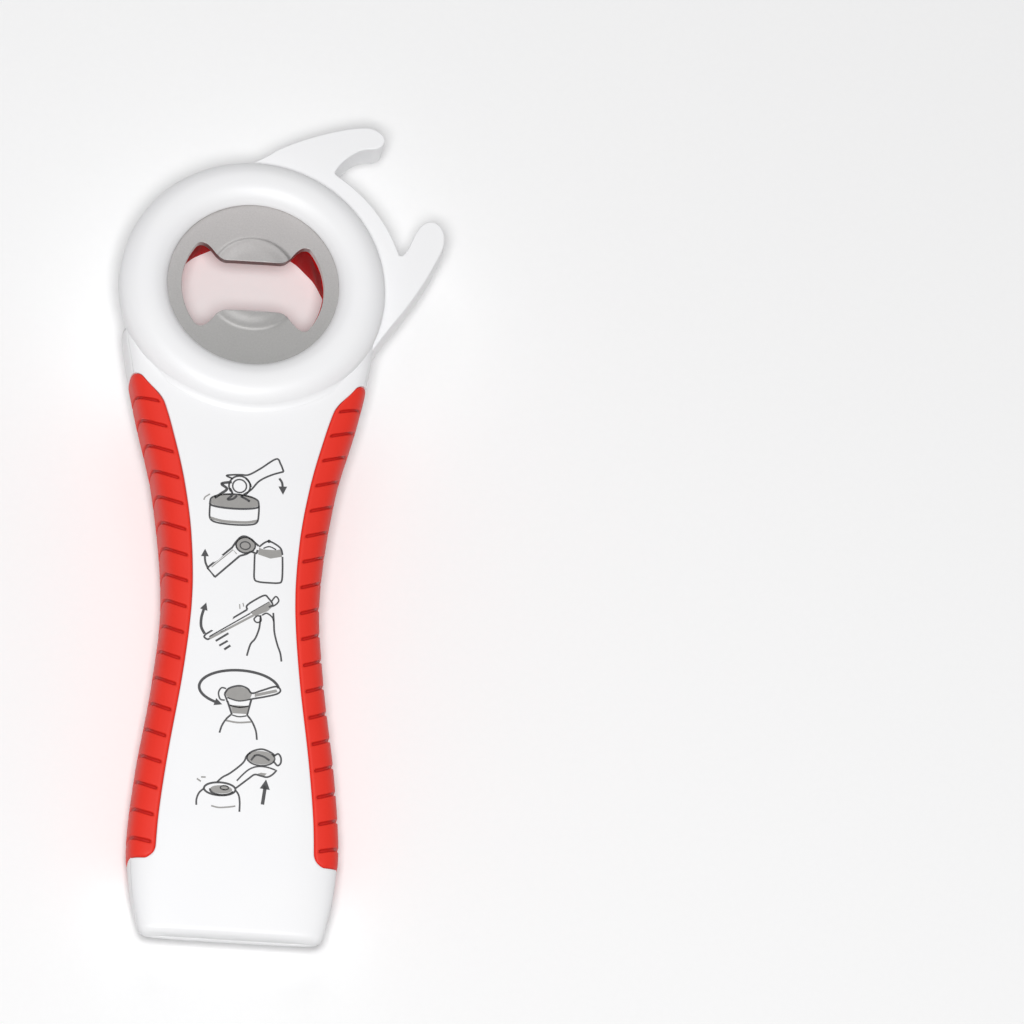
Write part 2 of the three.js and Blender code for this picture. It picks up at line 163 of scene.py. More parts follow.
ROWS_OVER_GROOVES = [                            # y of each further row, and how much it climbs
    (-22.4, 0.7), (GRIP_TOP_Y, GRIP_TOP_SLOPE), (-26.2, 0.5),
]
ROWS_UNDER_GROOVES = [
    (-129.5, 0.1), (GRIP_END_Y, GRIP_END_SLOPE), (-132.4, 0.0), (-135.0, 0.0), (-138.0, 0.0),
    (-141.5, 0.0),
]


# ---- curves --------------------------------------------------------------------------------

def along(table):
    """A smooth curve through rows of place and value, whose places run downwards."""
    def value(y):
        i = next((n for n in range(1, len(table) - 1) if table[n][0] <= y), len(table) - 1)
        p0, p1 = table[max(i - 2, 0)], table[i - 1]
        p2, p3 = table[i], table[min(i + 1, len(table) - 1)]
        t = (y - p1[0]) / (p2[0] - p1[0])
        slope1 = (p2[1] - p0[1]) / (p2[0] - p0[0]) * (p2[0] - p1[0])
        slope2 = (p3[1] - p1[1]) / (p3[0] - p1[0]) * (p2[0] - p1[0])
        return ((2 * t ** 3 - 3 * t ** 2 + 1) * p1[1] + (t ** 3 - 2 * t ** 2 + t) * slope1
                + (3 * t ** 2 - 2 * t ** 3) * p2[1] + (t ** 3 - t ** 2) * slope2)
    return value


outline_width = along(HALF_WIDTHS)
grip_edge = along(GRIP_EDGES)
side_climb = along(SIDE_CLIMBS)


def spline(points, steps=6):
    """A smooth line through the points."""
    points = [Vector(p) for p in points]
    padded = points[:1] + points + points[-1:]
    line = []
    for a, b, c, d in zip(padded, padded[1:], padded[2:], padded[3:]):
        for n in range(steps):
            t = n / steps
            line.append(0.5 * (2 * b + (c - a) * t + (2 * a - 5 * b + 4 * c - d) * t ** 2
                               + (3 * b - a - 3 * c + d) * t ** 3))
    return line + [points[-1]]


def hollow(start, control, end, steps=8):
    """A curve from start to end that leans towards the control point."""
    start, control, end = Vector(start), Vector(control), Vector(end)
    times = [n / steps for n in range(steps + 1)]
    return [start * (1 - t) ** 2 + control * 2 * t * (1 - t) + end * t ** 2 for t in times]


def arc(centre, radius, start, end, steps=12, squash=1.0):
    """Part of a circle or an ellipse, between two angles in degrees."""
    angles = [math.radians(start + (end - start) * n / steps) for n in range(steps + 1)]
    return [Vector((centre[0] + radius * math.cos(a), centre[1] + radius * squash * math.sin(a)))
            for a in angles]


def walk(points, distance):
    """The point that lies this far along a line."""
    for a, b in zip(points, points[1:]):
        step = (b - a).length
        if distance <= step and step > 0:
            return a.lerp(b, max(distance, 0) / step)
        distance -= step
    return points[-1].copy()


def length_to(points, passed):
    """How far along a line the test is first passed; it gives a value that goes from below 0 to above."""
    total = 0.0
    for a, b in zip(points, points[1:]):
        step = (b - a).length
        before, after = passed(a), passed(b)
        if before < 0 <= after:
            return total + step * before / (before - after)
        total += step
    return total


def spaced(points, count):
    """The same closed line with evenly spaced points."""
    ring = points + points[:1]
    total = sum((b - a).length for a, b in zip(ring, ring[1:]))
    return [walk(ring, total * n / count) for n in range(count)]


def step_up(x, soft):
    """0 outside, 1 inside, with a soft step this wide."""
    t = min(max(x / soft + 0.5, 0.0), 1.0)
    return t * t * (3 - 2 * t)


def rounding(y, radius):
    """How much a side has drawn in at y, where the end of the handle is rounded off."""
    past = min(max(0.0, HANDLE_END_Y + radius - y), radius)
    return radius - math.sqrt(radius ** 2 - past ** 2)


# ---- the handle's surface ------------------------------------------------------------------

def face_z(y):
    """The height of the handle's face along its middle."""
    return FACE_Z - min(0.0, y - ARCH_START_Y) ** 2 / (2 * ARCH_RADIUS)


def back_z(y):
    """The height of its underside."""
    if y < PALM_Y:
        return END_BACK_Z * ((PALM_Y - y) / (PALM_Y - HANDLE_END_Y)) ** 2
    return NECK_BACK_Z * min(1.0, (y - PALM_Y) / (NECK_Y - PALM_Y)) ** NECK_CURVE


def squared(t):
    """A sine or cosine, pushed towards the corners of a square."""
    return math.copysign(abs(t) ** (2 / SQUARENESS), t)


def on_face(x, y):
    """The point of the handle's face above this place."""
    width = outline_width(y)
    middle = (face_z(y) + back_z(y)) / 2
    drop = (1 - min(abs(x) / width, 0.99) ** SQUARENESS) ** (1 / SQUARENESS)
    return Vector((x, y, middle + (face_z(y) - middle) * drop))


@lru_cache(maxsize=None)
def half_section(y):
    """The right half of the section at y, from the middle of the face round to the back."""
    top = face_z(y) - rounding(y, END_EDGE)
    bottom = back_z(y) + rounding(y, END_EDGE)
    width = outline_width(y) - rounding(y, END_CORNER)
    middle, half = (top + bottom) / 2, (top - bottom) / 2
    angles = [math.pi / 2 - math.pi * n / SECTION_STEPS for n in range(SECTION_STEPS + 1)]
    return [Vector((width * squared(math.cos(a)), y, middle + half * squared(math.sin(a))))
            for a in angles]


# columns of the half cage, from the middle of the face round to the middle of the back
FACE_COLUMNS = 9
SHOULDER_COLUMNS = 6
SIDE_COLUMNS = 12
BACK_COLUMNS = 5
EDGE_COLUMN = FACE_COLUMNS
SEAM_COLUMN = EDGE_COLUMN + 1 + SHOULDER_COLUMNS
BACK_EDGE_COLUMN = SEAM_COLUMN + SIDE_COLUMNS + 1
COLUMNS = BACK_EDGE_COLUMN + BACK_COLUMNS


def shares(start, end, count):
    """The ends of this many equal steps from start to end."""
    return [start + (end - start) * (n + 1) / count for n in range(count)]


@lru_cache(maxsize=None)
def column_lengths(y):
    """How far round the half section each column of the mesh lies."""
    points = half_section(y)
    total = sum((b - a).length for a, b in zip(points, points[1:]))
    edge = grip_edge(y)
    front = length_to(points, lambda p: p.x - edge)
    seam = length_to(points, lambda p: face_z(y) - SEAM_DEPTH - p.z)
    back = total - length_to(points[::-1], lambda p: p.x - edge)
    return ([0.0] + shares(0, front, FACE_COLUMNS)
            + shares(front, front + GROOVE_BORDER, 1)
            + shares(front + GROOVE_BORDER, seam, SHOULDER_COLUMNS)
            + shares(seam, back - GROOVE_BORDER, SIDE_COLUMNS)
            + [back] + shares(back, total, BACK_COLUMNS))


def handle_rows():
    """Each row's y at the grip's edge, and how much it climbs from there to the side."""
    rows = [(HANDLE_TOP_Y - HEAD_ROW_PITCH * n, HEAD_ROW_CLIMB * n) for n in range(HEAD_ROWS)]
    rows += ROWS_OVER_GROOVES
    for n in range(GROOVES):
        middle = GROOVE_FIRST_Y - n * GROOVE_PITCH
        for offset in (GROOVE_WIDTH / 2 + GROOVE_SHOULDER, GROOVE_WIDTH / 2,
                       -GROOVE_WIDTH / 2, -GROOVE_WIDTH / 2 - GROOVE_SHOULDER):
            rows.append((middle + offset, GROOVE_SLOPE))
        if n < GROOVES - 1:
            rows.append((middle - GROOVE_PITCH / 2, GROOVE_SLOPE))
    rows += ROWS_UNDER_GROOVES
    for n in range(END_ROWS + 1):
        rows.append((HANDLE_END_Y + END_CORNER * (1 - math.sin(math.pi / 2 * n / END_ROWS)), 0.0))
    return rows


ROWS = handle_rows()
TOP_ROW = [y for y, slope in ROWS].index(GRIP_TOP_Y)
END_ROW = [y for y, slope in ROWS].index(GRIP_END_Y)
FIRST_GROOVE_ROW = TOP_ROW + 3
ROWS_A_GROOVE = 5
SETTLING_ROUNDS = 4                              # a climbing row meets the section at its own y


def cage_point(row, column):
    """Where a corner of the handle's mesh lies on its surface."""
    start, slope = ROWS[row]
    y = start
    edge = grip_edge(start)
    bulge = max(0.0, 1 - abs(start - GRIP_TOP_Y) / GRIP_TOP_REACH)
    for _ in range(SETTLING_ROUNDS):
        point = walk(half_section(y), column_lengths(y)[column])
        out = max(0.0, point.x - edge)
        share = min(1.0, out / (outline_width(y) - edge))
        depth = face_z(y) - back_z(y)
        drop = (face_z(y) - point.z) / depth
        climb = side_climb(start) * drop * (1 - drop) * depth
        y = round(start + slope * out * (1 + bulge * (1 - share)) + climb, 3)
    from_end = min((abs(row - end), end) for end in (TOP_ROW, END_ROW))
    from_edge = min(abs(column - EDGE_COLUMN), abs(column - BACK_EDGE_COLUMN))
    sideways, inwards = CORNER_CUTS.get((from_edge, from_end[0]), (0, 0))
    if TOP_ROW <= row <= END_ROW and EDGE_COLUMN <= column <= BACK_EDGE_COLUMN:
        size = GRIP_TOP_CORNER if from_end[1] == TOP_ROW else GRIP_CORNER
        toward = -1 if from_end[1] == TOP_ROW else 1
        point += Vector((sideways * size, toward * inwards * size, 0))
    return point


def handle_cage():
    """The right half of the handle, with a wedge end. Each face knows its zone: 1 front and 2 rear
    shell, or 3 and 4 under the grip; and a groove's floor knows its number."""
    bm = bmesh.new()
    zone = bm.faces.layers.int.new("zone")
    groove = bm.faces.layers.int.new("groove")
    bmesh.ops.create_grid(bm, x_segments=COLUMNS, y_segments=len(ROWS) - 1, size=0.5)
    place = {v: (round((v.co.x + 0.5) * COLUMNS), round((0.5 - v.co.y) * (len(ROWS) - 1)))
             for v in bm.verts}
    for face in bm.faces:
        column = min(place[v][0] for v in face.verts)
        row = min(place[v][1] for v in face.verts)
        in_grip = EDGE_COLUMN <= column < BACK_EDGE_COLUMN and TOP_ROW <= row < END_ROW
        face[zone] = (1 if column < SEAM_COLUMN else 2) + (2 if in_grip else 0)
        n, rest = divmod(row - FIRST_GROOVE_ROW, ROWS_A_GROOVE)
        sunk = rest == 0 and 0 <= n < GROOVES and EDGE_COLUMN < column < BACK_EDGE_COLUMN - 1
        face[groove] = n + 1 if sunk and in_grip else 0
    for v, (column, row) in place.items():
        v.co = cage_point(row, column)
    last = sorted((v for v in place if place[v][1] == len(ROWS) - 1), key=lambda v: place[v][0])
    middle = bm.verts.new((0, HANDLE_END_Y, last[SEAM_COLUMN].co.z))
    for part, rim in ((1, last[:SEAM_COLUMN + 1]), (2, last[SEAM_COLUMN:])):
        bm.faces.new(rim + [middle])[zone] = part
    return outwards(bm)


def keep(bm, test):
    """Deletes every face that fails the test."""
    bmesh.ops.delete(bm, geom=[f for f in bm.faces if not test(f)], context="FACES")


def outwards(bm):
    """Turns the faces of an open surface outwards: the highest looks up."""
    bmesh.ops.recalc_face_normals(bm, faces=bm.faces)
    highest = max(bm.faces, key=lambda f: f.calc_center_median().z)
    if highest.normal.z < 0:
        bmesh.ops.reverse_faces(bm, faces=bm.faces)
    return bm


def mirrored(bm):
    """The other half too, joined down the middle."""
    bmesh.ops.mirror(bm, geom=bm.verts[:] + bm.edges[:] + bm.faces[:], axis="X", merge_dist=0.001)
    bmesh.ops.recalc_face_normals(bm, faces=bm.faces)


# ---- making and finishing meshes -----------------------------------------------------------

def finished(bm, levels=0, wall=0.0, crease=0.0):
    """A bmesh of the same shape, given a wall inwards and then subdivided."""
    mesh = bpy.data.meshes.new("draft")
    bm.to_mesh(mesh)
    bm.free()
    draft = bpy.data.objects.new("draft", mesh)
    bpy.context.collection.objects.link(draft)
    if wall:
        thick = draft.modifiers.new("wall", "SOLIDIFY")
        thick.thickness = wall
        thick.offset = -1
        thick.edge_crease_rim = crease
        thick.edge_crease_outer = crease
    if levels:
        smooth = draft.modifiers.new("smooth", "SUBSURF")
        smooth.levels = levels
        smooth.render_levels = levels
    bpy.context.view_layer.update()
    shaped = draft.evaluated_get(bpy.context.evaluated_depsgraph_get())
    result = bmesh.new()
    result.from_mesh(shaped.to_mesh())
    bpy.data.objects.remove(draft)
    return result


def joined(*parts):
    """Several bmeshes as one."""
    whole = bmesh.new()
    for part in parts:
        mesh = bpy.data.meshes.new("part")
        part.to_mesh(mesh)
        part.free()
        whole.from_mesh(mesh)
        bpy.data.meshes.remove(mesh)
    return whole


def piece(name, bm, materials, nodes=()):
    """Places a finished bmesh in the frame as one piece of the object."""
    bmesh.ops.transform(bm, matrix=TO_FRAME, verts=bm.verts)
    for face in bm.faces:
        face.smooth = True
    mesh = bpy.data.meshes.new(name)
    bm.to_mesh(mesh)
    bm.free()
    for material in materials:
        mesh.materials.append(material)
    made = bpy.data.objects.new(name, mesh)
    bpy.context.collection.objects.link(made)
    even = made.modifiers.new("even_shading", "WEIGHTED_NORMAL")
    even.keep_sharp = True
    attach(made, "root")
    if nodes:
        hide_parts(*nodes)


def turned(profile, steps):
    """A ring with this closed profile of radius and height."""
    bm = bmesh.new()
    verts = [bm.verts.new((radius, 0, z)) for radius, z in profile]
    edges = [bm.edges.new(pair) for pair in zip(verts, verts[1:] + verts[:1])]
    bmesh.ops.spin(bm, geom=verts + edges, cent=(0, 0, 0), axis=(0, 0, 1), angle=2 * math.pi,
                   steps=steps, use_merge=True)
    bmesh.ops.recalc_face_normals(bm, faces=bm.faces)
    return bm


def plate_from(outline, low, high):
    """A flat slab with this closed outline."""
    bm = bmesh.new()
    face = bm.faces.new([bm.verts.new((p.x, p.y, low)) for p in outline])
    raised = bmesh.ops.extrude_face_region(bm, geom=[face])["geom"]
    bmesh.ops.translate(bm, vec=(0, 0, high - low),
                        verts=[item for item in raised if isinstance(item, bmesh.types.BMVert)])
    bmesh.ops.recalc_face_normals(bm, faces=bm.faces)
    return bm


def rims(bm, angle=40):
    """The edges at which the surface turns by more than this angle."""
    return [e for e in bm.edges if len(e.link_faces) == 2
            and e.calc_face_angle(0) > math.radians(angle)]


# ---- shells --------------------------------------------------------------------------------

def handle_shell(front):
    """The handle's part of one shell, with recesses that the grips sit in."""
    bm = handle_cage()
    mirrored(bm)
    zone = bm.faces.layers.int["zone"]
    for side in (1, -1):
        seat = [f for f in bm.faces if f[zone] > 2 and f.calc_center_median().x * side > 0]
        bmesh.ops.inset_region(bm, faces=seat, thickness=SEAT_EDGE, use_boundary=True,
                               use_even_offset=True)
        bmesh.ops.inset_region(bm, faces=seat, thickness=SEAT_SIDE, depth=-GRIP_THICKNESS,
                               use_boundary=True, use_even_offset=True)
    mine = (1, 3) if front else (2, 4)
    keep(bm, lambda f: f[zone] in mine and f.calc_center_median().xy.length > HIDDEN_RADIUS)
    lift = SEAM_GAP if front else -SEAM_GAP
    for v in bm.verts:
        if v.is_boundary and v.co.y < HANDLE_TOP_Y - TOP_EDGE:
            v.co.z += lift
    return finished(bm, levels=1, wall=SHELL_WALL, crease=1.0)


def front_ring():
    """The domed ring round the steel plate."""
    low = FACE_Z - SEAM_DEPTH + SEAM_GAP
    dome = [(p.x, p.y) for p in spline(RING_PROFILE, CURVE_STEPS)]
    seat = [(PLATE_SEAT_RADIUS, low), (PLATE_SEAT_RADIUS - PLATE_SEAT_LEAN, FACE_Z + PLATE_SEAT_LEAN)]
    return turned(dome + [(HEAD_RADIUS, low + RIM_ROUND), (HEAD_RADIUS - RIM_ROUND, low)] + seat,
                  TURNED_STEPS)


def ring_fillet():
    """The hollow curve by which the ring runs out on to the handle's face."""
    bm = bmesh.new()
    bmesh.ops.create_grid(bm, x_segments=FILLET_COLUMNS, y_segments=FILLET_ROWS, size=0.5)
    outermost = max(v.co.y for v in bm.verts)
    for v in bm.verts:
        across = 2 * v.co.x
        out = (v.co.y + 0.5) * FILLET_ROWS / (FILLET_ROWS - 1)      # 1 on the last row but one
        turn = math.radians(FILLET_SPREAD * across - 90)
        radius = FILLET_RADIUS + FILLET_WIDTH * out
        place = on_face(radius * math.cos(turn), radius * math.sin(turn))
        sink = FILLET_SINK * (1 - step_up(1 - abs(across) - FILLET_FADE / 2, FILLET_FADE))
        skim = -FILLET_TUCK if v.co.y == outermost else FILLET_SKIM
        v.co = place + Vector((0, 0, FILLET_RISE * max(0.0, 1 - out) ** 2 + skim - sink))
    return finished(outwards(bm), wall=FILLET_WALL)


def claw_outline():
    """Plan of the two hooks of the jar-lid claw, closed inside the head."""
    line = hollow((-8, 27.4), (0.5, 29.8), (4.5, 33.2), 10)
    line += hollow((4.5, 33.2), (8.5, 35.7), (16, 38.2), 10)[1:]
    line += spline([(16, 38.2), (21, 39.5), (25, 39.8), (27.6, 38.4), (28, 36.6), (26.6, 35.1),
                    (23.4, 34.6), (20.7, 33), (18.5, 30.8), (17.3, 28.8)], 8)[1:]
    line += arc((0, 0), WEB_RADIUS, 59, 18, 20)
    line += hollow((31.9, 10.4), (32.9, 10.2), (34.1, 13.2), 8)
    line += spline([(34.1, 13.2), (35.7, 16.8), (37.6, 18.7), (39.9, 18.5), (41.3, 16.4),
                    (41.4, 13.6), (40.5, 11), (37.6, 5), (33.6, -1.6), (29.2, -7.9), (26.6, -12)], 8)[1:]
    return [Vector((p.x, p.y)) for p in line] + arc((0, 0), HIDDEN_RADIUS, -22, 104, 40)


def jar_claw():
    """The claw, with the soft edges that a mould leaves."""
    top = FACE_Z - SEAM_DEPTH - CLAW_TOP_GAP
    bm = plate_from(spaced(claw_outline(), CLAW_POINTS), CLAW_BACK_Z, top)
    bmesh.ops.bevel(bm, geom=rims(bm), offset=CLAW_EDGE, offset_type="OFFSET", segments=4, profile=0.5,
                    affect="EDGES", clamp_overlap=True, material=-1)
    return bm


def collar():
    """The round wall behind the ring, which holds the twist-cap liner."""
    top = FACE_Z - SEAM_DEPTH - SEAM_GAP
    foot = [(COLLAR_BORE, COLLAR_CHAMFER), (COLLAR_BORE + COLLAR_CHAMFER, 0.0)]
    wall = [(p.x, p.y) for p in spline(COLLAR_PROFILE, CURVE_STEPS)]
    rim = [(HEAD_RADIUS, top - RIM_ROUND), (HEAD_RADIUS - RIM_ROUND, top), (COLLAR_BORE, top)]
    return turned(foot + wall + rim, TURNED_STEPS)


# ---- steel plate ---------------------------------------------------------------------------

PLATE_RADIUS = 21.5
PLATE_THICKNESS = 1.8
HOLE_RADIUS = 15.4
HOLE_OFFSET_Y = -0.4
LIP_HALF_GAP = 5.75
LIP_HALF_WIDTH = 5.6
EAR_ANGLE = 35.0
CRESCENTS = [                                    # side of the hole, radius, height over the lip and
    (1, 9.1, 5.5, 0.55), (-1, 10.6, 4.1, 0.3),   # the share of the rise taken by its outer step
]
CRESCENT_STEP = 0.8                              # width of that step
CRESCENT_CROWN = 3.0                             # width of the gentle rise inside it,
CRESCENT_CROWN_IN = 2.2                          # and how far in the middle of that lies
HOLE_POINTS = 320
PLATE_RINGS = 50                                 # of the mesh, between the hole and the rim
PLATE_EDGE = 0.38                                # radius of its tumbled edges


def hole_outline():
    """The bow-tie opening: its ends follow one circle, and two lips reach in between."""
    quarter = arc((0, 0), HOLE_RADIUS, 0, EAR_ANGLE, 20)
    ear = quarter[-1]
    quarter += hollow(ear, (11.9, 10.0), (10.7, 9.65), 8)[1:]
    quarter += hollow((10.7, 9.65), (9.5, 9.2), (8.2, 7.3), 8)[1:]
    quarter += hollow((8.2, 7.3), (7.0, LIP_HALF_GAP), (LIP_HALF_WIDTH, LIP_HALF_GAP), 8)[1:]
    quarter.append(Vector((0, LIP_HALF_GAP)))
    top = quarter + [Vector((-p.x, p.y)) for p in quarter[-2::-1]]
    whole = top + [Vector((-p.x, -p.y)) for p in top[1:-1]]
    return [p + Vector((0, HOLE_OFFSET_Y)) for p in spaced(whole, HOLE_POINTS)]


HOLE_OUTLINE = hole_outline()


def crescent_height(x, y):
    """How far the plate is pressed up behind its lips."""
    height = 0.0
    for side, radius, tall, step in CRESCENTS:
        up = side * (y - HOLE_OFFSET_Y) - LIP_HALF_GAP
        if up > -CRESCENT_STEP:
            inside = radius - math.hypot(x, up - tall + radius)
            crown = step_up(inside - CRESCENT_CROWN_IN, CRESCENT_CROWN)
            height = LIP_RAISE * (step * step_up(inside, CRESCENT_STEP) + (1 - step) * crown)
    return height


def crown_plate():
    """The pressed steel plate that lifts crown caps."""
    bm = bmesh.new()
    rim = bmesh.ops.create_circle(bm, segments=HOLE_POINTS, radius=PLATE_RADIUS)["verts"]
    inner = bmesh.ops.extrude_edge_only(bm, edges=bm.edges[:])["geom"]
    for v in (item for item in inner if isinstance(item, bmesh.types.BMVert)):
        turn = math.atan2(v.co.y, v.co.x) / (2 * math.pi)
        v.co.xy = HOLE_OUTLINE[round(turn * HOLE_POINTS) % HOLE_POINTS]
    spokes = [e for e in bm.edges if (e.verts[0] in rim) != (e.verts[1] in rim)]
    bmesh.ops.subdivide_edges(bm, edges=spokes, cuts=PLATE_RINGS, use_grid_fill=True)
    lifted = bmesh.ops.extrude_face_region(bm, geom=bm.faces[:])["geom"]
    bmesh.ops.translate(bm, vec=(0, 0, PLATE_THICKNESS),
                        verts=[item for item in lifted if isinstance(item, bmesh.types.BMVert)])
    bmesh.ops.recalc_face_normals(bm, faces=bm.faces)
    bmesh.ops.bevel(bm, geom=rims(bm, 70), offset=PLATE_EDGE, offset_type="OFFSET", segments=3,
                    profile=0.5, affect="EDGES", clamp_overlap=True, material=-1)
    bmesh.ops.translate(bm, vec=(0, 0, FACE_Z - PLATE_THICKNESS), verts=bm.verts)
    for v in bm.verts:
        v.co.z += crescent_height(v.co.x, v.co.y)
    return bm


# ---- twist-cap liner -----------------------------------------------------------------------

LINER_MOUTH = 18.8
LINER_TOP = 15.3
FLUTES = 20
FLUTE_DEPTH = 0.5
FLUTE_STEPS = 10                                 # of the mesh, round each flute
LINER_TOP_GAP = 0.3                              # between the liner and the plate
LINER_LIP = 0.5                                  # height at which the bore starts
LINER_ROWS = 8
LINER_WALL_RADIUS = 19.2
BORE_SLACK = 0.1                                 # what lies this near to the bore takes its flutes
LINER_OUTSIDE = [                                # radius and height, from the top down to the mouth
    (20.7, 1.7), (22.0, 1.6), (22.2, 1.3), (22.2, 0.3), (21.9, 0.0), (19.4, 0.0), (19.0, 0.15),
]


def cap_liner():
    """The rubber cup that grips twist caps from behind, fluted like a cap."""
    top = FACE_Z - PLATE_THICKNESS - LINER_TOP_GAP
    steps = [n / LINER_ROWS for n in range(LINER_ROWS + 1)]
    bore = [(LINER_MOUTH + (LINER_TOP - LINER_MOUTH) * t, LINER_LIP + (top - LINER_LIP) * t)
            for t in steps]
    bm = turned(bore + [(LINER_WALL_RADIUS, top)] + LINER_OUTSIDE, FLUTES * FLUTE_STEPS)
    for v in bm.verts:
        radius = math.hypot(v.co.x, v.co.y)
        bore_radius = LINER_MOUTH + (LINER_TOP - LINER_MOUTH) * v.co.z / top
        if radius < bore_radius + BORE_SLACK:
            wave = 0.5 - 0.5 * math.cos(FLUTES * math.atan2(v.co.y, v.co.x))
            fade = math.sin(math.pi * v.co.z / top) ** 0.5 if 0 < v.co.z < top else 0
            v.co.xy *= 1 - FLUTE_DEPTH * wave * fade / radius
    return bm


# ---- grips ---------------------------------------------------------------------------------

def grip_pad(side):
    """A rubber pad that wraps the side of the handle, with a groove between each pair of ribs."""
    bm = handle_cage()
    zone = bm.faces.layers.int["zone"]
    groove = bm.faces.layers.int["groove"]
    sunk = bm.verts.layers.float.new("sunk")
    keep(bm, lambda f: f[zone] > 2)
    rim = bmesh.ops.inset_region(bm, faces=bm.faces[:], thickness=GRIP_GAP, use_boundary=True,
                                 use_even_offset=True)["faces"]
    bmesh.ops.delete(bm, geom=rim, context="FACES")
    bm.normal_update()
    for v in bm.verts:
        v.co += v.normal * GRIP_PROUD
    for n in range(GROOVES):
        floor = [f for f in bm.faces if f[groove] == n + 1]
        bmesh.ops.inset_region(bm, faces=floor, thickness=GROOVE_SIDE, depth=-GROOVE_DEPTH,
                               use_boundary=True, use_even_offset=True)
        # the groove floors are marked as sunk, and the rubber's material paints shade on them
        for v in {v for f in floor for v in f.verts}:
            v[sunk] = 1.0
    if side < 0:
        bmesh.ops.scale(bm, vec=(-1, 1, 1), verts=bm.verts)
        bmesh.ops.reverse_faces(bm, faces=bm.faces)
    return finished(bm, levels=2, wall=GRIP_THICKNESS)


# ---- instruction print ---------------------------------------------------------------------

INK_THICKNESS = 0.03
ARROW_TIP = 1.1                                  # how far an arrow's tip lies past its shaft
DARK, GREY = 0, 1


class Print:
    """One pictogram, drawn in millimetres round its own middle."""

    def __init__(self, bm, x, y):
        self.bm, self.middle = bm, Vector((x, y))

    def stroke(self, points, width=0.4, ink=DARK):
        """A band of ink along straight lines between the points."""
        points = [self.middle + Vector(p) for p in points]
        points = [p for n, p in enumerate(points) if n == 0 or (p - points[n - 1]).length > 1e-4]
        pair = None
        for n, p in enumerate(points):
            ahead = (points[min(n + 1, len(points) - 1)] - points[max(n - 1, 0)]).normalized()
            side = Vector((-ahead.y, ahead.x)) * width / 2
            ends = [self.bm.verts.new(on_face(*(p + offset))) for offset in (side, -side)]
            if pair:
                face = self.bm.faces.new((pair[0], pair[1], ends[1], ends[0]))
                face.material_index = ink
            pair = ends

    def patch(self, points, ink=DARK):
        """An area of ink with this outline."""
        points = [self.middle + Vector(p) for p in points]
        face = self.bm.faces.new([self.bm.verts.new(on_face(*p)) for p in points])
        face.material_index = ink

    def curve(self, points, width=0.4, ink=DARK):
        """A band of ink along a smooth line through the points."""
        self.stroke(spline(points), width, ink)

    def head(self, tip, direction, size=1.7):
        """The head of an arrow."""
        tip, ahead = Vector(tip), Vector(direction).normalized()
        side = Vector((-ahead.y, ahead.x)) * size * 0.5
        back = tip - ahead * size
        self.patch([tip, back + side, back - side])

    def arrow(self, points, width):
        """A smooth line with a head at its end."""
        line = spline(points)
        ahead = line[-1] - line[-2]
        self.stroke(line, width)
        self.head(line[-1] + ahead.normalized() * ARROW_TIP, ahead)


def jar_pictogram(p):
    """The claw levers a jar lid."""
    p.curve([(-7.1, -3.2), (-7.2, -5.0), (-7.0, -6.8), (-5.6, -7.6), (-2, -7.9), (1.6, -7.7), (3.1, -7),
             (3.4, -5.0), (3.4, -3.2)])
    p.curve([(-7.0, -6.6), (-4.5, -7.2), (-1.9, -7.3), (1, -7.2), (3.2, -6.7)], 0.6, GREY)
    p.patch(arc((-1.9, -3.1), 5.2, 180, 360, 16, 0.18) + arc((-1.9, -2.3), 4.9, 0, 180, 16, 0.3), GREY)
    p.stroke(arc((-1.9, -3.4), 5.3, 180, 360, 16, 0.16), 0.45)
    p.stroke(arc((-1.9, -2.5), 5.2, 0, 180, 16, 0.3))
    p.stroke([(-7.1, -2.5), (-7.2, -3.5)])
    p.stroke([(3.3, -2.5), (3.4, -3.5)])
    p.stroke(arc((-0.9, 1.0), 1.5, 0, 360, 20), 0.35)
    p.stroke(arc((-0.9, 1.0), 2.3, -60, 215, 18), 0.4)
    p.curve([(-2.4, 2.6), (-3.8, 3.2), (-2.2, 3.5), (-0.6, 3.6), (1.0, 3.7), (3.4, 5.2), (6.8, 7.7),
             (7.8, 6.6), (8.5, 4.9)])
    p.curve([(8.5, 4.9), (5.8, 3.9), (3.3, 2.4), (1.6, 0.3), (0, -0.9)])
    p.curve([(0.4, 2.8), (1.3, 1.8), (1.6, 0.9)], 0.35)
    p.curve([(-2.6, 1.8), (-4.8, 1.3), (-3.6, 0.2), (-4.9, -1.0), (-6.2, -2.0)], 0.6)
    p.curve([(-3.0, 0.4), (-2.4, -1.0), (-3.4, -2.2), (-2.2, -2.0), (-1.4, -1.2)], 0.5)
    p.curve([(-0.6, -1.3), (0.6, -1.9), (1.4, -2.4)], 0.5)
    p.curve([(7.6, 3.3), (8.2, 2.4), (8.4, 1.2)], 0.5)
    p.head((8.5, -0.4), (0.05, -1), 1.9)
    p.curve([(-8.5, -2.6), (-8.2, -1.9), (-7.2, -1.2)], 0.3, GREY)


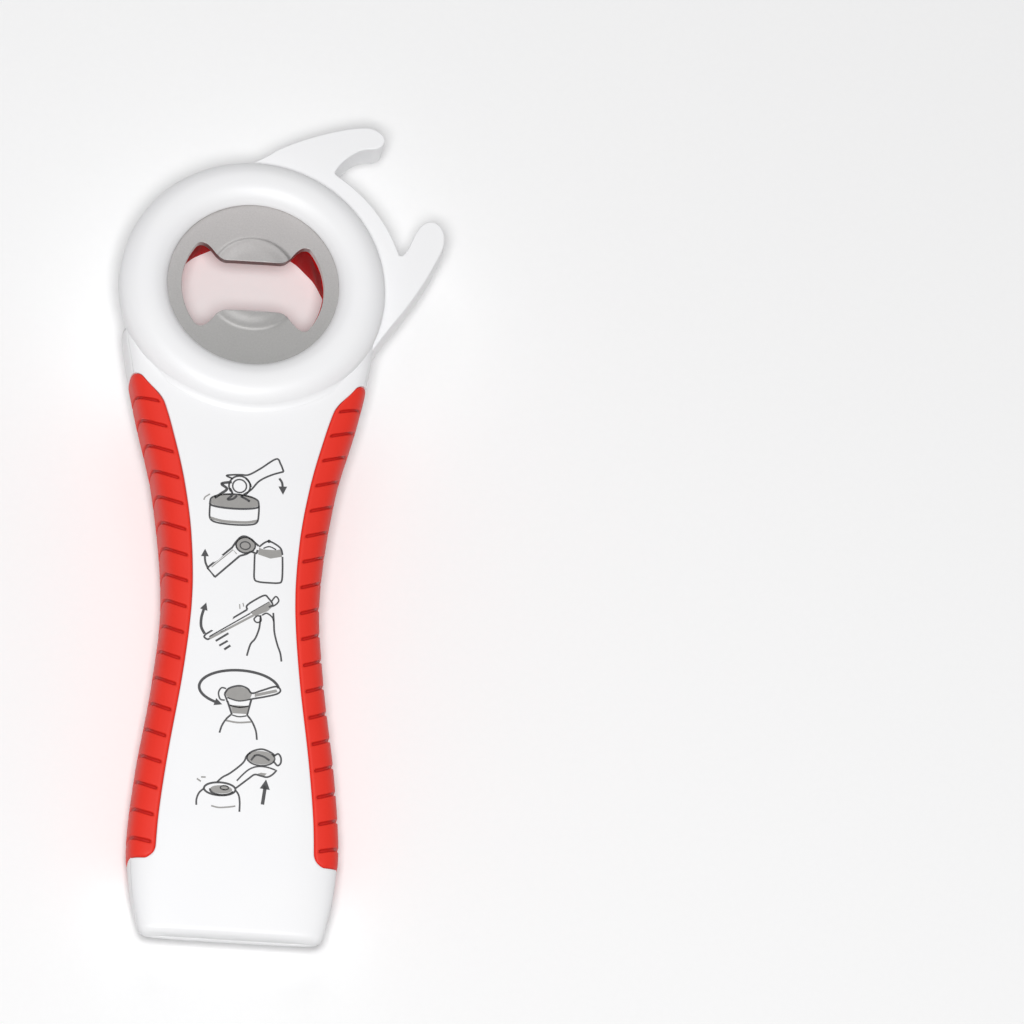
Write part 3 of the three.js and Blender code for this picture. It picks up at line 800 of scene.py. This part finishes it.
def can_pictogram(p):
    """The end of the handle is raised beside a can."""
    p.stroke([(-7.5, -2.5), (-5.8, -4.5), (-0.6, 0.6)], 0.45)
    p.stroke([(-5.8, -4.5), (-7.5, -2.5), (-2.3, 2.4), (-1.6, 3.6)], 0.45)
    p.stroke([(-6.6, -2.3), (-2.1, 1.9), (-1.3, 1.0)], 0.25, GREY)
    p.patch(arc((0.6, 3.1), 2.1, 0, 360, 20, 0.85), GREY)
    p.stroke(arc((0.6, 3.1), 2.1, 0, 360, 20, 0.85), 0.35)
    p.stroke(arc((0.5, 3.0), 1.1, 0, 360, 16, 0.8), 0.3)
    p.curve([(-1.6, 3.6), (-0.6, 4.8), (0.4, 5.1), (1.6, 4.6), (2.8, 3.6), (3.4, 3.1)], 0.45)
    p.curve([(-0.6, 0.6), (0.8, 1.1), (1.8, 1.7), (2.9, 1.4), (3.2, 2.2)], 0.45)
    p.curve([(2.6, 1.2), (2.6, -2), (2.7, -4.4), (3.6, -5.0), (5.7, -5.1), (7.9, -5.0), (8.6, -4.4),
             (8.7, -2), (8.6, 1.0)])
    p.patch([(3.3, 1.2), (3.5, 2.7), (4.4, 2.4), (7.2, 2.4), (8.3, 2.7), (8.5, 1.0), (6, 0.4)], GREY)
    p.curve([(3.5, 2.9), (4.6, 3.9), (5.6, 4.3), (6.9, 3.8), (8.2, 2.8), (8.6, 1.4)])
    p.curve([(4.4, 2.6), (5.7, 3.1), (7.2, 2.5)], 0.3)
    p.patch(arc((5.6, 4.3), 0.4, 0, 360, 10))
    p.curve([(-7.4, -2.5), (-7.9, -1.4), (-8.1, -0.2), (-8.1, 0.6)], 0.45)
    p.head((-8.1, 1.8), (0, 1), 1.7)


def bottle_pictogram(p):
    """The plate lifts a crown cap from a bottle, seen from the side."""
    p.stroke([(-7.6, -2.1), (1.2, 4.0)], 0.4)
    p.stroke([(-6.8, -2.6), (1.9, 3.2)], 0.3)
    p.stroke([(-6.7, -3.0), (2.6, 2.8)], 0.5, GREY)
    p.curve([(-7.6, -2.1), (-7.9, -2.7), (-7.2, -3.2), (-6.7, -3.0)], 0.4)
    p.curve([(1.2, 4.0), (1.1, 4.9), (3.0, 6.4), (4.8, 7.4), (5.6, 6.9), (6.6, 5.5), (5.8, 4.8)])
    p.patch([(1.9, 3.3), (5.9, 6.0), (6.6, 5.0), (5.6, 3.9), (2.9, 2.6)], GREY)
    p.stroke([(1.9, 3.3), (5.9, 6.0)], 0.3)
    p.curve([(6.2, 5.9), (7.2, 7.3), (7.9, 6.5), (7.4, 5.6), (6.5, 5.0)], 0.35)
    p.curve([(3.3, 2.7), (2.7, 1.9), (3.3, 1.2), (4.2, 1.6), (4.0, 2.6), (3.3, 2.7)], 0.35)
    p.curve([(4.1, 2.9), (4.0, 1.0), (3.8, -0.4), (3.1, -2.4), (2.1, -3.8), (1.4, -6.4)])
    p.curve([(6.8, 3.6), (7.0, 1.4), (7.2, -0.9), (7.9, -3.5), (8.6, -5.4), (8.9, -7.2)])
    p.curve([(4.4, 2.9), (5.4, 3.4), (6.6, 2.6), (6.9, 1.8)], 0.35)
    p.arrow([(-7.8, -2.0), (-8.6, -0.4), (-8.6, 1.8), (-8.0, 4.0)], 0.6)
    p.stroke([(-5.4, -3.5), (-2.7, -1.6)], 0.45)
    p.stroke([(-4.6, -4.5), (-2.8, -3.3)], 0.45)
    p.stroke([(-3.5, -5.3), (-2.2, -4.3)], 0.5)
    p.stroke([(-0.4, 4.0), (-0.5, 5.1)], 0.25, GREY)
    p.stroke([(0.4, 4.6), (0.2, 5.4)], 0.25, GREY)


def twist_pictogram(p):
    """The recess turns a screw cap on the neck of a bottle."""
    p.arrow(arc((-0.2, 3.4), 8.6, 8, 238, 30, 0.47), 0.6)
    p.patch([(-3.2, 2.2), (-2.6, 3.2), (-0.3, 3.9), (1.8, 3.3), (2.6, 2.3), (2.2, 1.1), (-0.2, 0.7),
             (-2.6, 1.2)], GREY)
    p.curve([(-3.3, 2.0), (-2.4, 3.3), (-0.2, 4.0), (1.6, 3.5), (2.6, 2.5), (4.6, 3.2), (7.6, 4.3),
             (8.7, 3.6), (8.0, 2.7), (5.5, 1.9), (3.0, 1.3), (2.3, 1.1)])
    p.patch([(3.2, 1.7), (3.2, 2.4), (7.8, 3.7), (8.1, 3.1)], GREY)
    p.curve([(-3.0, 3.2), (-4.0, 3.3), (-4.6, 2.2), (-4.2, 0.8), (-3.2, 0.6)], 0.35)
    p.curve([(-3.3, 2.0), (-2.9, 1.0), (-2.6, 0.2)], 0.4)
    p.curve([(-2.7, 1.2), (-0.2, 0.6), (2.3, 1.1)], 0.3)
    p.stroke([(-2.6, 0.4), (-1.6, -2.4)], 0.45)
    p.stroke([(2.5, 1.1), (1.7, -2.4)], 0.45)
    p.patch([(-2.0, -0.4), (2.0, -0.4), (1.6, -2.2), (-1.4, -2.2)], GREY)
    p.curve([(-2.3, -0.4), (-0.1, -0.8), (2.1, -0.4)], 0.35)
    p.curve([(-1.6, -2.4), (-2.7, -3.5), (-3.6, -5.0), (-4.1, -6.7)])
    p.curve([(1.7, -2.4), (2.8, -3.8), (3.7, -5.8), (4.0, -7.8)])
    p.curve([(-2.8, -3.9), (-0.2, -4.2), (2.6, -3.9)], 0.4, GREY)
    p.curve([(-1.5, -2.6), (0, -2.9), (1.6, -2.6)], 0.3)


def ring_pull_pictogram(p):
    """The wedge of the handle lifts the ring pull of a can."""
    p.stroke(arc((-3.9, -2.3), 3.4, 0, 360, 28, 0.42), 0.45)
    p.patch(arc((-3.6, -2.4), 2.4, 0, 360, 20, 0.38), GREY)
    p.stroke(arc((-3.5, -2.5), 2.5, 170, 350, 16, 0.45), 0.45)
    p.stroke(arc((-2.9, -2.0), 0.9, 0, 360, 14, 0.5), 0.3)
    p.curve([(-7.3, -2.4), (-8.3, -3.4), (-8.8, -4.8), (-8.8, -6.1)])
    p.curve([(-0.5, -2.4), (0.2, -3.4), (0.5, -5.0), (0.5, -7.1)])
    p.curve([(-5.6, -6.1), (-4.0, -6.4), (-2.0, -6.2), (-0.4, -5.9)], 0.35, GREY)
    p.curve([(-4.5, -0.8), (-3.4, 0.3), (-1.8, 1.3), (0.3, 3.1), (1.2, 4.2), (1.7, 5.4), (3.0, 6.5),
             (5.0, 7.0), (7.0, 6.3), (7.8, 5.6)])
    p.patch(arc((4.7, 5.1), 3.0, 0, 360, 22, 0.5), GREY)
    p.stroke(arc((4.7, 5.0), 3.0, 140, 400, 20, 0.55), 0.35)
    p.curve([(2.6, 4.4), (3.6, 5.6), (5.2, 5.4), (6.6, 4.6)], 0.45)
    p.curve([(7.6, 5.7), (8.4, 6.2), (9.0, 5.4), (9.0, 4.2), (8.3, 3.6), (7.4, 4.6)], 0.4)
    p.curve([(-0.3, -0.3), (0.9, 1.1), (2.3, 2.4), (4.0, 3.1), (6.0, 3.1), (7.9, 2.6)], 0.35)
    p.curve([(-0.4, -1.9), (0.9, -0.8), (2.3, 0.4), (3.5, 1.3), (4.8, 1.1), (6.2, 0.9), (7.4, 1.6),
             (8.2, 2.6)])
    p.patch([(3.6, 1.3), (4.8, 1.8), (6.1, 1.7), (5.6, 1.1)], GREY)
    p.stroke([(5.4, -5.2), (5.9, -0.9)], 0.75)
    p.head((6.0, 0.4), (0.1, 1), 2.2)
    p.curve([(-8.9, -0.3), (-8.0, -0.9)], 0.35, GREY)
    p.curve([(-8.0, 0.1), (-7.0, 0.1)], 0.35, GREY)


PICTOGRAMS = [                                   # each drawing and the middle of its place
    (jar_pictogram, -0.8, -47.7), (can_pictogram, -0.6, -63.2), (bottle_pictogram, -0.4, -78.6),
    (twist_pictogram, -0.2, -95.8), (ring_pull_pictogram, 0.1, -112.6),
]


def instruction_print():
    """Five small drawings that show how to use each tool, as a thin film of ink."""
    bm = bmesh.new()
    for draw, x, y in PICTOGRAMS:
        draw(Print(bm, x, y))
    bmesh.ops.triangulate(bm, faces=[f for f in bm.faces if len(f.verts) > 4])
    for face in bm.faces:
        face.normal_update()
    bmesh.ops.reverse_faces(bm, faces=[f for f in bm.faces if f.normal.z < 0])
    bmesh.ops.translate(bm, vec=(0, 0, INK_THICKNESS), verts=bm.verts)
    return bm


# ---- materials -----------------------------------------------------------------------------

def linear(code):
    """An sRGB hex colour as linear red, green, blue and 1."""
    parts = [int(code[n:n + 2], 16) / 255 for n in (1, 3, 5)]
    return tuple(c / 12.92 if c <= 0.04045 else ((c + 0.055) / 1.055) ** 2.4 for c in parts) + (1,)


def node(tree, kind, values=None, links=None, **settings):
    """Adds a node with its settings, the values of its sockets and the links into them."""
    made = tree.nodes.new(kind)
    for key, value in settings.items():
        setattr(made, key, value)
    for socket, value in (values or {}).items():
        made.inputs[socket].default_value = value
    for socket, source in (links or {}).items():
        tree.links.new(source, made.inputs[socket])
    return made


def start_material(name):
    """A new material, its empty node tree and the place on the object, in the object's own metres."""
    material = bpy.data.materials.new(name)
    material.use_nodes = True
    tree = material.node_tree
    tree.nodes.clear()
    place = node(tree, "ShaderNodeTexCoord").outputs["Object"]
    return material, tree, place


def end_material(tree, shader):
    """Shows the shader on the surface."""
    node(tree, "ShaderNodeOutputMaterial", links={"Surface": shader.outputs["BSDF"]})


def per_mm(size):
    """The scale of a noise whose grains are this many millimetres across."""
    return 1 / (size * MM)


def moulded_abs():
    """White ABS from a finely blasted mould: satin, with a faint waviness and a breath of cool shade."""
    material, tree, place = start_material("moulded_white_abs")
    cloud = node(tree, "ShaderNodeTexNoise", {"Scale": per_mm(18), "Detail": 3}, {"Vector": place})
    tint = node(tree, "ShaderNodeMix", {"A": linear("#F6F6F8"), "B": linear("#F9F9F9")},
                {"Factor": cloud.outputs["Fac"]}, data_type="RGBA")
    grain = node(tree, "ShaderNodeTexNoise", {"Scale": per_mm(0.35), "Detail": 2}, {"Vector": place})
    wave = node(tree, "ShaderNodeTexNoise", {"Scale": per_mm(7), "Detail": 1}, {"Vector": place})
    gloss = node(tree, "ShaderNodeMapRange", {"To Min": 0.4, "To Max": 0.5},
                 {"Value": wave.outputs["Fac"]})
    fine = node(tree, "ShaderNodeBump", {"Strength": 0.06, "Distance": 0.05 * MM},
                {"Height": grain.outputs["Fac"]})
    bump = node(tree, "ShaderNodeBump", {"Strength": 0.1, "Distance": 0.12 * MM},
                {"Height": wave.outputs["Fac"], "Normal": fine.outputs["Normal"]})
    shader = node(tree, "ShaderNodeBsdfPrincipled", {"IOR": 1.54},
                  {"Base Color": tint.outputs["Result"], "Roughness": gloss.outputs["Result"],
                   "Normal": bump.outputs["Normal"]})
    end_material(tree, shader)
    return material


def moulded_rubber(name, light, dark, groove_shade, shine):
    """Soft TPR from a spark-eroded mould: matt, a fine grain, and painted shade on the floors of its
    grooves.
    The shine is how much it mirrors: a little on the grips, which hands polish, and next to none in the
    liner."""
    material, tree, place = start_material(name)
    cloud = node(tree, "ShaderNodeTexNoise", {"Scale": per_mm(12), "Detail": 4}, {"Vector": place})
    tint = node(tree, "ShaderNodeMix", {"A": linear(dark), "B": linear(light)},
                {"Factor": cloud.outputs["Fac"]}, data_type="RGBA")
    sunk = node(tree, "ShaderNodeAttribute", attribute_name="sunk")
    # painted shade: the red turns darker where the groove floors are marked as sunk
    colour = node(tree, "ShaderNodeMix", {"B": linear(groove_shade)},
                  {"Factor": sunk.outputs["Fac"], "A": tint.outputs["Result"]}, data_type="RGBA")
    grain = node(tree, "ShaderNodeTexNoise", {"Scale": per_mm(0.25), "Detail": 3}, {"Vector": place})
    rough = node(tree, "ShaderNodeMapRange", {"To Min": 0.48, "To Max": 0.62},
                 {"Value": grain.outputs["Fac"]})
    bump = node(tree, "ShaderNodeBump", {"Strength": 0.25, "Distance": 0.06 * MM},
                {"Height": grain.outputs["Fac"]})
    shader = node(tree, "ShaderNodeBsdfPrincipled", {"IOR": 1.5, "Specular IOR Level": shine},
                  {"Base Color": colour.outputs["Result"], "Roughness": rough.outputs["Result"],
                   "Normal": bump.outputs["Normal"]})
    end_material(tree, shader)
    return material


def tumbled_steel():
    """Tumbled stainless sheet: satin, with a fine even grain, and a painted reflection that makes it
    brighter towards the claw.
    """
    material, tree, place = start_material("tumbled_stainless_steel")
    grain = node(tree, "ShaderNodeTexNoise", {"Scale": per_mm(0.4), "Detail": 4, "Roughness": 0.7},
                 {"Vector": place})
    cloud = node(tree, "ShaderNodeTexNoise", {"Scale": per_mm(6), "Detail": 3}, {"Vector": place})
    axes = node(tree, "ShaderNodeSeparateXYZ", links={"Vector": place})
    # painted reflection: the colour grows lighter from the plate's lower edge to its upper edge, towards
    # the claw
    low, high = HEAD.y - PLATE_RADIUS * MM, HEAD.y + PLATE_RADIUS * MM
    sweep = node(tree, "ShaderNodeMapRange", {"From Min": low, "From Max": high},
                 {"Value": axes.outputs["Y"]})
    painted_reflection = node(tree, "ShaderNodeMix", {"A": linear("#B9B9B7"), "B": linear("#DCD8D7")},
                 {"Factor": sweep.outputs["Result"]}, data_type="RGBA")
    speck = node(tree, "ShaderNodeMapRange", {"To Min": 0.86, "To Max": 1.14},
                 {"Value": grain.outputs["Fac"]})
    tint = node(tree, "ShaderNodeMix", {"Factor": 1.0},
                {"A": painted_reflection.outputs["Result"], "B": speck.outputs["Result"]},
                data_type="RGBA", blend_type="MULTIPLY")
    rough = node(tree, "ShaderNodeMapRange", {"To Min": 0.36, "To Max": 0.5},
                 {"Value": cloud.outputs["Fac"]})
    bump = node(tree, "ShaderNodeBump", {"Strength": 0.35, "Distance": 0.04 * MM},
                {"Height": grain.outputs["Fac"]})
    shader = node(tree, "ShaderNodeBsdfPrincipled", {"Metallic": 1.0},
                  {"Base Color": tint.outputs["Result"], "Roughness": rough.outputs["Result"],
                   "Normal": bump.outputs["Normal"]})
    end_material(tree, shader)
    return material


def pad_ink(name, code):
    """Pad-printed ink: a thin satin film, a little uneven where it was laid."""
    material, tree, place = start_material(name)
    cloud = node(tree, "ShaderNodeTexNoise", {"Scale": per_mm(1.2), "Detail": 3}, {"Vector": place})
    rough = node(tree, "ShaderNodeMapRange", {"To Min": 0.4, "To Max": 0.6},
                 {"Value": cloud.outputs["Fac"]})
    worn = node(tree, "ShaderNodeMapRange", {"To Max": 0.25}, {"Value": cloud.outputs["Fac"]})
    tint = node(tree, "ShaderNodeMix", {"A": linear(code), "B": linear("#6E6E70")},
                {"Factor": worn.outputs["Result"]}, data_type="RGBA")
    shader = node(tree, "ShaderNodeBsdfPrincipled", {"IOR": 1.5},
                  {"Base Color": tint.outputs["Result"], "Roughness": rough.outputs["Result"]})
    end_material(tree, shader)
    return material


def light_table():
    """Translucent white table, lit a little from below: matt, with a very slight tooth."""
    material, tree, place = start_material("light_table")
    tooth = node(tree, "ShaderNodeTexNoise", {"Scale": per_mm(1.5), "Detail": 2}, {"Vector": place})
    tint = node(tree, "ShaderNodeMix", {"A": linear("#F2F2F2"), "B": linear("#F4F4F4")},
                {"Factor": tooth.outputs["Fac"]}, data_type="RGBA")
    shader = node(tree, "ShaderNodeBsdfPrincipled",
                  {"Roughness": 0.9, "Emission Color": linear("#FFFFFF"), "Emission Strength": 0.08},
                  {"Base Color": tint.outputs["Result"]})
    end_material(tree, shader)
    return material


# ---- studio --------------------------------------------------------------------------------

CAMERA_TILT = 23.0                               # from straight above, towards the wedge end
CAMERA_TURN = 11.5                               # and this far round towards the left grip
CAMERA_ROLL = 15.4
CAMERA_SWING = -1.45                             # all of it swung this far round the head's axis
CAMERA_DISTANCE = 10.0
SENSOR_WIDTH = 36
VIEW_WIDTH = 220.2 * MM                          # what the view takes in at the plate's face
AIM_RIGHT = 55.7 * MM                            # from the middle of the plate to the view's
AIM_DOWN = 48.8 * MM
TABLE_HALF = 6.0                                 # metres from its middle to a side
KEY_LIGHT = ((-0.12, -0.5, 1.37), 0.3, 15.8)     # place and size in metres, power in watts
BACK_LIGHT = ((-0.1, 1.0, 1.3), 0.8, 2.8)
ROOM_LIGHT = 0.18


def make_camera():
    """A long lens from far off, so that the view is nearly parallel."""
    tilt, turn, roll = (math.radians(a) for a in (CAMERA_TILT, CAMERA_TURN, CAMERA_ROLL))
    right = Vector((math.cos(turn), -math.sin(turn), 0))
    up = Vector((math.sin(turn) * math.cos(tilt), math.cos(turn) * math.cos(tilt), math.sin(tilt)))
    swing = Matrix.Rotation(math.radians(CAMERA_SWING), 3, "Z")
    view_right = swing @ (right * math.cos(roll) + up * math.sin(roll))
    view_up = swing @ (up * math.cos(roll) - right * math.sin(roll))
    back = view_right.cross(view_up)
    middle = Vector((HEAD.x, HEAD.y, FACE_Z * MM))
    aim = middle + view_right * AIM_RIGHT - view_up * AIM_DOWN
    data = bpy.data.cameras.new("camera")
    data.sensor_width = SENSOR_WIDTH
    data.lens = CAMERA_DISTANCE * SENSOR_WIDTH / VIEW_WIDTH
    data.clip_end = 10 * CAMERA_DISTANCE
    camera = bpy.data.objects.new("camera", data)
    axes = Matrix((view_right, view_up, back)).transposed().to_4x4()
    camera.matrix_world = Matrix.Translation(aim + back * CAMERA_DISTANCE) @ axes
    bpy.context.collection.objects.link(camera)
    bpy.context.scene.camera = camera


def soft_light(name, place, size, power):
    """A square lamp that faces the middle of the table."""
    data = bpy.data.lights.new(name, "AREA")
    data.shape = "SQUARE"
    data.size = size
    data.energy = power
    light = bpy.data.objects.new(name, data)
    light.location = place
    light.rotation_euler = (-Vector(place)).to_track_quat("-Z", "Y").to_euler()
    bpy.context.collection.objects.link(light)


def make_studio():
    """The table, a key light near the camera, a back light for the steel and a dim white room."""
    bm = bmesh.new()
    bmesh.ops.create_grid(bm, x_segments=8, y_segments=8, size=TABLE_HALF)
    mesh = bpy.data.meshes.new("floor")
    bm.to_mesh(mesh)
    bm.free()
    mesh.materials.append(light_table())
    floor = bpy.data.objects.new("floor", mesh)
    bpy.context.collection.objects.link(floor)
    soft_light("key_light", *KEY_LIGHT)
    soft_light("back_light", *BACK_LIGHT)
    world = bpy.data.worlds.new("studio")
    world.use_nodes = True
    room = world.node_tree.nodes["Background"].inputs
    room["Color"].default_value = linear("#FDFDFF")
    room["Strength"].default_value = ROOM_LIGHT
    bpy.context.scene.world = world
    bpy.context.scene.view_settings.view_transform = "Standard"


# ---- assembly ------------------------------------------------------------------------------

def build():
    """The seven pieces, in their materials."""
    white = moulded_abs()
    # the third colour of each rubber is the painted shade for its groove floors; the liner has no floors
    # marked
    red = moulded_rubber("moulded_red_tpr", "#F23828", "#EA2E1F", "#C4201A", 0.38)
    liner_red = moulded_rubber("liner_red_tpr", "#C80C10", "#B8080C", "#A0060A", 0.01)
    steel = tumbled_steel()
    ink = [pad_ink("dark_ink", "#454547"), pad_ink("grey_ink", "#A3A19E")]
    piece("front_shell_moulding", joined(handle_shell(True), front_ring(), ring_fillet()), [white],
          ["front_shell"])
    piece("rear_shell_moulding", joined(handle_shell(False), collar(), jar_claw()), [white],
          ["rear_shell"])
    piece("crown_plate_pressing", crown_plate(), [steel], ["crown_plate"])
    piece("cap_liner_moulding", cap_liner(), [liner_red], ["cap_liner"])
    piece("right_grip_pad", grip_pad(1), [red], ["right_grip"])
    piece("left_grip_pad", grip_pad(-1), [red], ["left_grip"])
    piece("instruction_print", instruction_print(), ink)


build()
make_studio()
make_camera()
